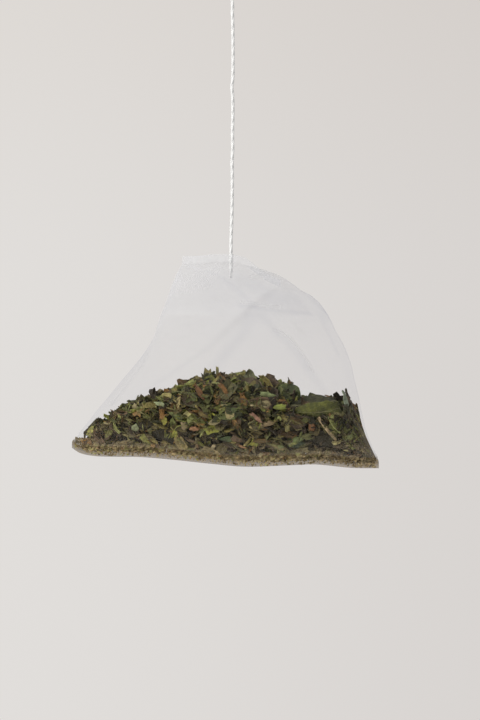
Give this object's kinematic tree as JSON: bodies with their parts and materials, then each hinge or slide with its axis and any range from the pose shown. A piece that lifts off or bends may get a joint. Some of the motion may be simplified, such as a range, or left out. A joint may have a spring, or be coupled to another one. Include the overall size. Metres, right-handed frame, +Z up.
{
  "type": "pyramid tea bag",
  "caption": "Sheer gauze pyramid filled with loose dried green leaf, hung by a cotton thread that leaves its top seam and ends in a knotted loop.",
  "frame": {"origin": "where a hook or a finger holds the loop at the thread's upper end; the bag hangs below it", "axes": "+X along the bottom seam, +Y along the top seam, +Z up along the thread"},
  "size_m": [0.0646, 0.0646, 0.1054],
  "materials": {
    "gauze": "sheer woven gauze",
    "cotton": "twisted white cotton",
    "crushed_leaf": "dry crushed leaf",
    "green_leaf": "dry leaf",
    "olive_leaf": "dry leaf",
    "brown_leaf": "dry leaf"
  },
  "bodies": {
    "root": {"gauze_bag": "gauze", "leaf_01": "green_leaf", "leaf_02": "green_leaf", "leaf_03": "brown_leaf", "leaf_04": "green_leaf", "leaf_05": "green_leaf", "leaf_06": "olive_leaf", "leaf_07": "green_leaf", "leaf_08": "olive_leaf", "leaf_09": "green_leaf", "leaf_10": "brown_leaf", "leaf_11": "brown_leaf", "leaf_12": "olive_leaf", "leaf_13": "green_leaf", "leaf_14": "brown_leaf", "leaf_15": "brown_leaf", "leaf_16": "olive_leaf", "leaf_17": "olive_leaf", "leaf_18": "green_leaf", "leaf_19": "olive_leaf", "leaf_20": "brown_leaf", "leaf_21": "green_leaf", "leaf_22": "olive_leaf", "leaf_23": "brown_leaf", "leaf_24": "green_leaf", "leaf_25": "olive_leaf", "leaf_26": "brown_leaf", "leaf_27": "green_leaf", "leaf_28": "olive_leaf", "leaf_29": "brown_leaf", "leaf_30": "green_leaf", "leaf_31": "olive_leaf", "leaf_32": "brown_leaf", "leaf_33": "green_leaf", "leaf_34": "olive_leaf", "leaf_35": "brown_leaf", "leaf_36": "green_leaf", "leaf_37": "olive_leaf", "leaf_38": "brown_leaf", "leaf_39": "green_leaf", "leaf_40": "olive_leaf", "leaf_41": "brown_leaf", "leaf_42": "green_leaf", "leaf_43": "olive_leaf", "leaf_44": "brown_leaf", "loop_knot": "cotton", "tea_heap": "crushed_leaf", "thread": "cotton"}
  },
  "joints": []
}
